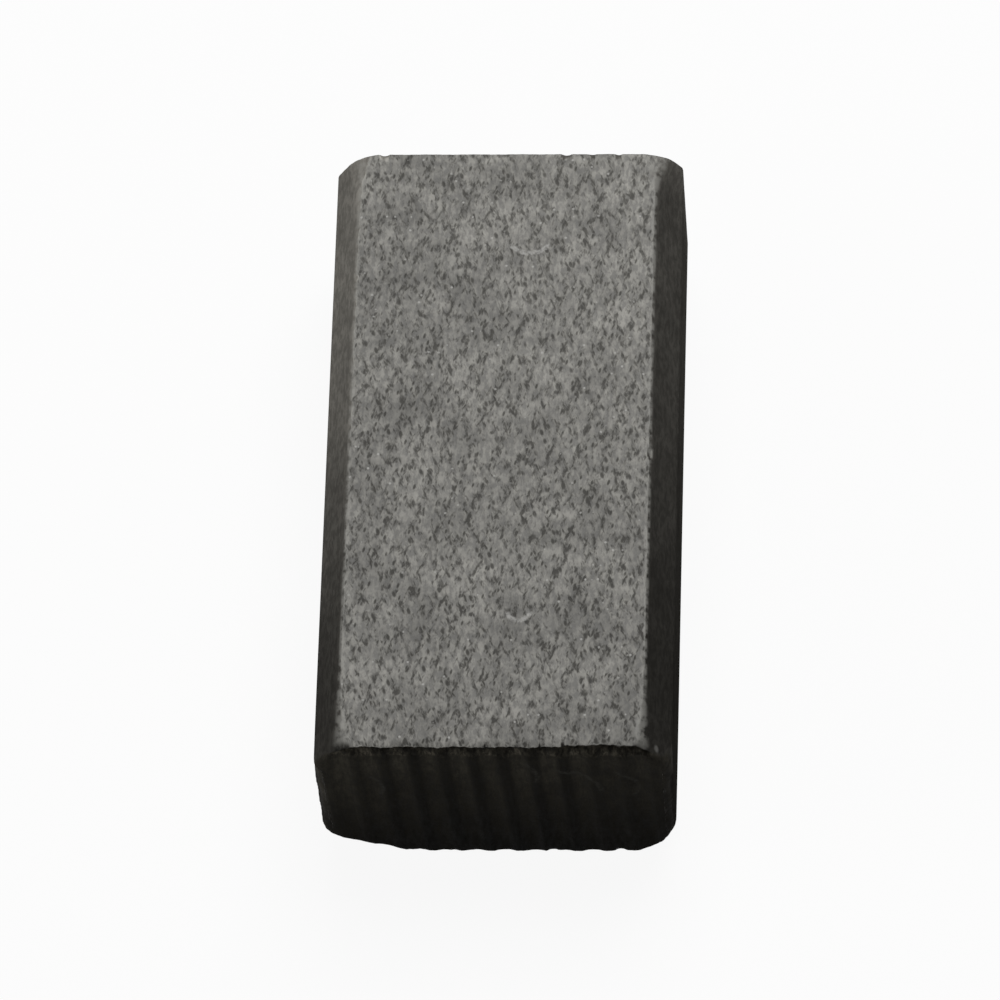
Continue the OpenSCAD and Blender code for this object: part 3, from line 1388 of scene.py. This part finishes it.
        # Rubbed long edges: partly real burnish, partly a painted highlight
        burnish_and_highlight = graph.ramp(graph.noise(self.place, finish.rub_noise), finish.rub_share)
        burnish_and_highlight = graph.product(masks[Region.EDGE], burnish_and_highlight, finish.overlay)
        color = graph.tint(burnish_and_highlight, color, finish.burnish_and_highlight)
        marks = graph.product(self.marks, graph.ramp(self.y, finish.mark_strength))
        color = graph.tint(marks, color, finish.dark)
        scuffs = self.scuff_share(finish.scuffs, self.y)
        # Bright flakes are partly painted glints
        pale = graph.product(graph.most(self.specks(finish.flakes_and_glints), scuffs), self.broad)
        gap = graph.vector("DISTANCE", self.place, finish.fresh_chip)
        pale = graph.most(pale, graph.ramp(gap, finish.chip_share))
        color = graph.tint(graph.product(pale, finish.overlay), color, finish.scuff_and_glint)
        smears = graph.product(self.scuff_share(finish.end_scuffs, self.z), masks[Region.END])
        front = graph.math("LESS_THAN", self.y, 0.0)
        return graph.tint(graph.product(smears, front, finish.overlay), color, finish.smear)

    def tone(self, band: Socket) -> Socket:
        """Works out the factor on the base colour.

        Args:
            band: Share of the broken front edge.

        Returns:
            The factor.
        """
        finish, graph, end = self.finish, self.graph, self.masks[Region.END]
        clouds = graph.ramp(graph.noise(self.place, finish.clouds), finish.cloud_tone)
        powder = graph.product(clouds, graph.ramp(self.grain, finish.grain_tone))
        powder = graph.blend(graph.ramp(graph.most(self.broad, end), finish.calm_share), 1.0, powder)
        speckle = graph.ramp(graph.noise(self.place, finish.speckle), finish.speckle_tone)
        powder = graph.product(powder, graph.blend(band, 1.0, speckle))
        moulded = graph.blend(end, self.side_tone_and_painted_light(), self.end_tone())
        return graph.product(powder, graph.blend(self.broad, moulded, self.face_tone()))

    def side_tone_and_painted_light(self) -> Socket:
        """Gives the tone of bevels and narrow sides, paler at the back partly as painted light, darker at +X
        as painted shade.

        Returns:
            The tone.
        """
        finish, graph = self.finish, self.graph
        # Partly own tone, partly painted light from behind, and painted shade at +X
        left = graph.ramp(self.y, finish.left_tone_and_painted_light)
        right = graph.total(graph.ramp(self.y, finish.right_painted_light_and_shade), graph.ramp(self.y, finish.right_back_painted_light))
        return graph.blend(graph.ramp(self.x, finish.side_change), left, right)

    def end_tone(self) -> Socket:
        """Gives the tone of the ends: painted shade towards the bottom, painted light at -X, paler flutes as
        painted light.

        Returns:
            The tone.
        """
        finish, graph = self.finish, self.graph
        # Painted light at -X and painted shade towards the bottom of the ends
        left = graph.ramp(self.x, finish.end_left_painted_light)
        shaded_end = graph.product(graph.ramp(self.z, finish.end_painted_shade), left)
        # Paler flutes: painted light that stands for the lit slopes of the ribs
        lit_flutes = graph.ramp(self.masks[Region.FLUTE], finish.flute_painted_light)
        aside = graph.math("ABSOLUTE", graph.math("SUBTRACT", self.x, finish.flute_middle))
        return graph.product(shaded_end, graph.blend(graph.ramp(aside, finish.flute_fade), lit_flutes, 1.0))

    def face_tone(self) -> Socket:
        """Gives the tone of the broad faces, which changes a little over each, partly as painted light.

        Returns:
            The tone.
        """
        finish, graph = self.finish, self.graph
        # Painted light: paler towards the back and towards +X
        across = graph.product(self.x, graph.ramp(self.y, finish.face_painted_light_turn))
        tone = graph.math("MULTIPLY_ADD", self.y, finish.face_painted_light_slope, graph.total(across, finish.face_tone))
        return graph.total(tone, graph.ramp(graph.math("ABSOLUTE", self.y), finish.face_end_tone))

    def relief(self) -> Socket:
        """Gives the surface its relief: grain all over, marks on the broad faces, saw lines elsewhere.

        Returns:
            The surface's direction.
        """
        finish, graph = self.finish, self.graph
        grain = graph.product(self.grain, finish.grain_relief)
        saw = graph.noise(self.place, finish.saw_lines)
        moulded = graph.product(graph.total(grain, saw), finish.moulded_relief)
        height = graph.blend(self.broad, moulded, graph.math("SUBTRACT", grain, self.marks))
        inputs = {"Height": height, "Strength": finish.relief_strength, "Distance": finish.relief_depth}
        return graph.add("ShaderNodeBump", inputs).outputs[0]


@dataclass(frozen=True)
class Lamp:
    """A square soft lamp.

    Attributes:
        name: Its name.
        place: Its place.
        size: Length of its sides.
        power: Its power in watts.
    """

    name: str
    place: Triple
    size: float
    power: float


@dataclass
class Studio:
    """A pale floor, soft lamps and the camera.

    Attributes:
        focus: Point that the camera looks at.
        azimuth: Angle of the camera round the bar from the contact end, in degrees.
        elevation: Angle of the camera above the floor, in degrees.
        distance: Distance from the camera to that point.
        lens: Focal length in millimetres.
        sight: Nearest and farthest distance that the camera sees.
        floor_reach: Half the floor's side.
        cloth: Colour of the floor as the bar's light and shadow see it.
        whiteness: Share of plain white in what is seen of the floor.
        sky: Strength of the even light from all round.
        lamps: The lamps, which face the bar.
    """

    focus: Vector
    azimuth: float = 7.06
    elevation: float = 61.5
    distance: float = 0.292
    lens: float = 294.3
    sight: tuple[float, float] = (0.01, 10.0)
    floor_reach: float = 1.5
    cloth: Color = (0.6, 0.6, 0.6, 1.0)
    whiteness: float = 0.92
    sky: float = 0.15
    lamps: tuple[Lamp, ...] = (
        Lamp("back_softbox", (0.03, 0.115, 0.22), 0.18, 0.75),
        Lamp("left_fill", (-0.26, -0.05, 0.11), 0.12, 0.17),
    )

    def build(self) -> None:
        """Puts everything in place."""
        self.add_camera()
        self.add_floor()
        self.add_world()
        for lamp in self.lamps:
            self.add_lamp(lamp)

    def add_camera(self) -> None:
        """Adds the camera high over the contact end, with the bar's width level in its picture."""
        turn, rise = math.radians(self.azimuth), math.radians(self.elevation)
        back = Vector((math.sin(turn) * math.cos(rise), -math.cos(turn) * math.cos(rise), math.sin(rise)))
        up = back.cross(Vector((1, 0, 0))).normalized()
        data = bpy.data.cameras.new("camera")
        data.lens = self.lens
        data.clip_start, data.clip_end = self.sight
        camera = bpy.data.objects.new("camera", data)
        bpy.context.scene.collection.objects.link(camera)
        axes = Matrix((up.cross(back), up, back)).transposed()
        camera.matrix_world = Matrix.Translation(self.focus + back * self.distance) @ axes.to_4x4()
        bpy.context.scene.camera = camera

    @staticmethod
    def seen(graph: Graph) -> Socket:
        """Gives 1 for what the camera sees, straight or mirrored, and 0 for what only gives light."""
        path = graph.add("ShaderNodeLightPath").outputs
        return graph.most(path["Is Camera Ray"], path["Is Glossy Ray"], path["Is Transmission Ray"])

    def add_floor(self) -> None:
        """Adds the floor, which looks white to the camera and keeps the bar's soft shadow."""
        mesh = bpy.data.meshes.new("floor")
        half = self.floor_reach
        corners = [(-half, -half, 0), (half, -half, 0), (half, half, 0), (-half, half, 0)]
        mesh.from_pydata(corners, [], [(0, 1, 2, 3)])
        floor = bpy.data.objects.new("floor", mesh)
        bpy.context.scene.collection.objects.link(floor)
        material = bpy.data.materials.new("white_table")
        material.use_nodes = True
        material.node_tree.nodes.clear()
        graph = Graph(material.node_tree)
        cloth = graph.add("ShaderNodeBsdfDiffuse", {"Color": self.cloth})
        glow = graph.add("ShaderNodeEmission", {"Color": (1.0, 1.0, 1.0, 1.0), "Strength": 1.0})
        white = graph.product(self.seen(graph), self.whiteness)
        both = graph.add("ShaderNodeMixShader", {0: white, 1: cloth.outputs[0], 2: glow.outputs[0]})
        graph.add("ShaderNodeOutputMaterial", {"Surface": both.outputs[0]})
        mesh.materials.append(material)

    def add_world(self) -> None:
        """Adds a dim even light, and a white background for the camera."""
        world = bpy.data.worlds.new("studio")
        bpy.context.scene.world = world
        world.use_nodes = True
        world.node_tree.nodes.clear()
        graph = Graph(world.node_tree)
        strength = graph.blend(self.seen(graph), self.sky, 1.0)
        sky = graph.add("ShaderNodeBackground", {"Color": (1.0, 1.0, 1.0, 1.0), "Strength": strength})
        graph.add("ShaderNodeOutputWorld", {"Surface": sky.outputs[0]})

    def add_lamp(self, lamp: Lamp) -> None:
        """Adds a lamp that faces the bar.

        Args:
            lamp: The lamp.
        """
        data = bpy.data.lights.new(lamp.name, "AREA")
        data.size = lamp.size
        data.energy = lamp.power
        light = bpy.data.objects.new(lamp.name, data)
        bpy.context.scene.collection.objects.link(light)
        light.location = lamp.place
        light.rotation_mode = "QUATERNION"
        light.rotation_quaternion = (self.focus - Vector(lamp.place)).to_track_quat("-Z", "Y")


def main() -> None:
    """Builds the bar and the studio."""
    logging.basicConfig(level=logging.INFO, format="%(name)s: %(message)s")
    bpy.context.scene.view_settings.view_transform = "Standard"
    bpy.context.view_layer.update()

    low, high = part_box(NODE)
    shape = GraphiteBar(low, high)
    material = GraphitePainter(GraphiteFinish(score_angle=shape.score_angle)).paint()
    bar = shape.mesh()
    log.info("skin of %d points and %d triangles", len(bar.data.vertices), len(bar.data.polygons))
    ribs = {
        "Pitch": shape.rib_pitch,
        "Land": shape.rib_land,
        "Depth": shape.flute_depth,
        "Lean": math.tan(math.radians(shape.rib_lean)),
        "Middle": shape.thickness / 2,
        "Bedding": shape.bedding,
        "Seed": 3.0,
    }
    RibCutter("contact_ribs", ribs, material).run(bar)
    log.info("ribs cut %.2f mm apart", shape.rib_pitch / MM)
    BreakCutter("broken_edge", {"Depth": shape.break_crumbs, "Seed": 5.0}, material).run(bar)
    log.info("front edge broken over %.2f mm of the end", shape.break_height / MM)
    scores = {
        "Pitch": shape.score_pitch,
        "Slope": math.tan(math.radians(shape.score_angle)),
        "Cell": shape.cell,
        "Depth": shape.score_depth,
        "Shade": shape.score_shade,
        "Seed": 11.0,
    }
    ScoreCutter("score_lines", scores, material).run(bar)
    log.info("score lines cut %.2f mm apart", shape.score_pitch / MM)
    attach(bar, BODY)
    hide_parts(NODE)

    # The picture's middle lies a little to the left of the bar's
    middle, shift = (low + high) / 2, Vector((-0.185 * MM, 0, 0))
    Studio(focus=middle + shift).build()
    log.info("studio built round %s", tuple(round(value / MM, 2) for value in middle))


if __name__ == "__main__":
    main()
